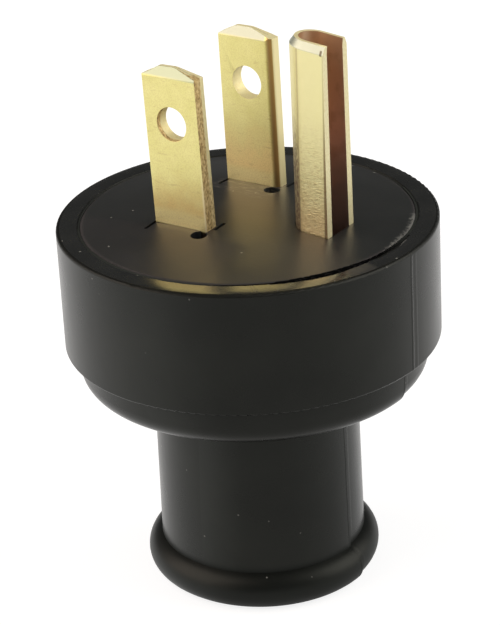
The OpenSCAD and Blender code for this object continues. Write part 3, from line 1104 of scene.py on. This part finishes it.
# Painted shade in the creases of the ripples, and painted glints beside them.
ripple_shade = times(spread(ripples, 0.52, 0.68), lower)
ripple_glints = times(spread(ripples, 0.38, 0.28), lower)
colour = add_ramp(blotch, [(0.3, (0.83, 0.775, 0.39)), (0.7, (0.88, 0.83, 0.45))])
colour = add_mix(stain, colour, (0.88, 0.67, 0.35), 0.7)
colour = add_mix(spots, colour, (0.42, 0.29, 0.14))
colour = add_mix(ripple_shade, colour, (0.52, 0.38, 0.18), 0.5)
colour = add_mix(ripple_glints, colour, (0.98, 0.94, 0.62), 0.7)
print("rippled the wall of", channel_brass.name)

# %% Ground prong finish, tarnished bend and bevelled end
bend_end = channel_back + 1.72
leg_edge = channel_x + channel_leg
end_slope = math.tan(math.radians(end_tilt + ground_lean))
end_level = channel_top + 0.04 + end_slope * (channel_back + 0.12)


def band(value, place, wide, narrow):
    """A mask of what lies beside a place by less than a width, full within a narrower one."""
    beside = add_math("ABSOLUTE", add_math("SUBTRACT", value, place))
    return spread(beside, wide, narrow)


upright_x = upright(x, z, -ground_lean, ground_pivot)
level_z = plus(z, x, end_slope)
tarnish = times(spread(upright_x, channel_back + 1.85, channel_back + 1.6),
                spread(z, rim + 14, rim + 6, 0.1, 0.85), spread(speckle, 0.35, 0.6, 0.55, 1),
                spread(y, -0.2, -1.2, 0.4, 1))
edge_line = times(spread(upright_x, leg_edge - 0.22, leg_edge - 0.1),
                  spread(z, rim + 20, rim + 5, 0.25, 0.85))
notch = times(band(upright_x, leg_edge - 0.32, 0.16, 0.08), band(level_z, end_level - 0.62, 0.3, 0.2))
end_bevel = spread(level_z, end_level - 0.83, end_level - 0.68)
colour = add_mix(tarnish, colour, (0.24, 0.16, 0.11))
colour = add_mix(band(upright_x, bend_end, 0.14, 0.05), colour, (0.40, 0.31, 0.18), 0.45)
colour = add_mix(edge_line, colour, (0.20, 0.13, 0.06))
colour = add_mix(end_bevel, colour, (0.57, 0.61, 0.48))
colour = add_mix(notch, colour, (0.12, 0.09, 0.05), 0.85)
roughness = spread(blotch, 0.3, 0.7, 0.34, 0.44)
normal = add_bump(times(ripples, lower), 0.04)
normal = add_bump(ripples, 0.004, normal)
wire(shader, colour, roughness, normal)
print("finished", channel_brass.name)

# %% Inside and leg ends of the ground prong
channel_inside, tree, shader = new_finish("channel_inside_finish", Metallic=0.85)
x, y, z = split_places(tree)
blotch = add_noise(tree, 0.5, 4)
depth = spread(z, rim + 20, rim + 1)
colour = add_ramp(depth, [(0.0, (0.68, 0.46, 0.29)), (0.6, (0.72, 0.475, 0.35)), (1.0, (0.40, 0.29, 0.24))])
colour = add_mix(spread(blotch, 0.5, 0.7, 0, 0.3), colour, (0.34, 0.17, 0.09))
wire(shader, colour, spread(blotch, 0.3, 0.7, 0.38, 0.5), add_bump(blotch, 0.01))

leg_end, tree, shader = new_finish("leg_end_finish", Metallic=0.75)
tears = add_noise(tree, 6.0, 3, (1, 1, 0.5))
colour = add_ramp(tears, [(0.3, (0.80, 0.71, 0.40)), (0.5, (0.87, 0.80, 0.49)), (0.7, (0.90, 0.84, 0.54))])
wire(shader, colour, spread(tears, 0.3, 0.7, 0.52, 0.42), add_bump(tears, 0.004))
print("finished", channel_inside.name, leg_end.name)

# %% [markdown]
# Which face gets which finish
#
# A prong is one piece with several finishes. It could be cut up, but slots keep it whole: the faces are
# picked by place and by normal, and each gets its slot of the piece.

# %% Put the brass finishes on
def give_finish(piece, finishes, tests):
    """Gives a piece its finishes: the first on all faces, and each next one on the faces of its test."""
    for finish in finishes:
        piece.data.materials.append(finish)
    start_edit(piece)
    for index, test in enumerate(tests, start=1):
        count = pick("FACE", test)
        piece.active_material_index = index
        bpy.ops.object.material_slot_assign()
        print(piece.name, count, "faces with", finishes[index].name)
    end_edit()


def is_sheared(face, open_side):
    """Whether a face of a blade is on its open side, the end of its tip or the wall of its hole."""
    place = middle(face) / mm
    on_open_side = face.normal.x * open_side > 0.7 and (place.x - blade_x) * open_side > blade_width / 2 - 0.5
    on_tip = place.z > blade_top - 1.15 and abs(face.normal.y) < 0.2 and face.normal.z > 0.5
    in_hole = math.hypot(place.x - blade_x, place.z - hole_z) < hole_radius + 0.5 and abs(face.normal.y) < 0.5
    return on_open_side or on_tip or in_hole


def is_inside(face):
    """Whether a face of the ground prong is on its inner wall."""
    place = middle(face) / mm
    beside = Vector((min(place.x - channel_x, 0), place.y)).length
    return place.z > terminal_z and beside < channel_radius - channel_wall + 0.05 and abs(face.normal.z) < 0.5


def is_leg_end(face):
    """Whether a face of the ground prong is on the end of a leg."""
    return face.normal.x > 0.7 and middle(face).x / mm > channel_x + channel_leg - 0.3


def is_channel_top(face):
    """Whether a face of the ground prong is on its sheared top."""
    return face.normal.z > 0.85 and middle(face).z / mm > channel_top - 0.7


give_finish(blade, [blade_brass, sheared_brass], [lambda face: is_sheared(face, 1)])
give_finish(far_blade, [blade_brass, sheared_brass], [lambda face: is_sheared(face, -1)])
give_finish(channel, [channel_brass, channel_inside, leg_end, sheared_brass],
            [is_inside, is_leg_end, is_channel_top])

# %% [markdown]
# Terminal screws
#
# The three screws sit inside, under the carrier: brass for line, nickel plate for neutral and green for
# ground. Each is turned, so fine rings of the tool run round its head. The rings are a sine of the distance
# from the screw's axis, in the bump, which is simpler than centring a wave texture on each screw.

# %% Screw finishes
def screw_finish(name, colour, worn, centre_x, centre_y, metallic):
    """Turned metal with rings of the tool round an axis, and wear in patches."""
    finish, tree, shader = new_finish(name, Metallic=metallic)
    x, y, z = split_places(tree)
    across = add_math("SUBTRACT", x, centre_x)
    along = add_math("SUBTRACT", y, centre_y)
    rings = add_math("SINE", times(from_axis(across, along), 40))
    patches = add_noise(tree, 0.9, 4)
    mixed = add_mix(spread(patches, 0.45, 0.7, 0, 0.6), colour, worn)
    wire(shader, mixed, spread(patches, 0.3, 0.7, 0.24, 0.4), add_bump(rings, 0.002))
    return finish


screws = {
    "line_screw": screw_finish("screw_brass_finish", (0.78, 0.6, 0.27), (0.6, 0.42, 0.16),
                               blade_x, screw_y, 1),
    "neutral_screw": screw_finish("screw_nickel_finish", (0.72, 0.71, 0.68), (0.55, 0.53, 0.48),
                                  blade_x, -screw_y, 1),
    "ground_screw": screw_finish("screw_green_finish", (0.05, 0.3, 0.1), (0.16, 0.34, 0.14),
                                 ground_screw_x, 0, 0.6),
}
for name, finish in screws.items():
    nodes[name].material_slots[0].material = finish
print("finished", *screws)
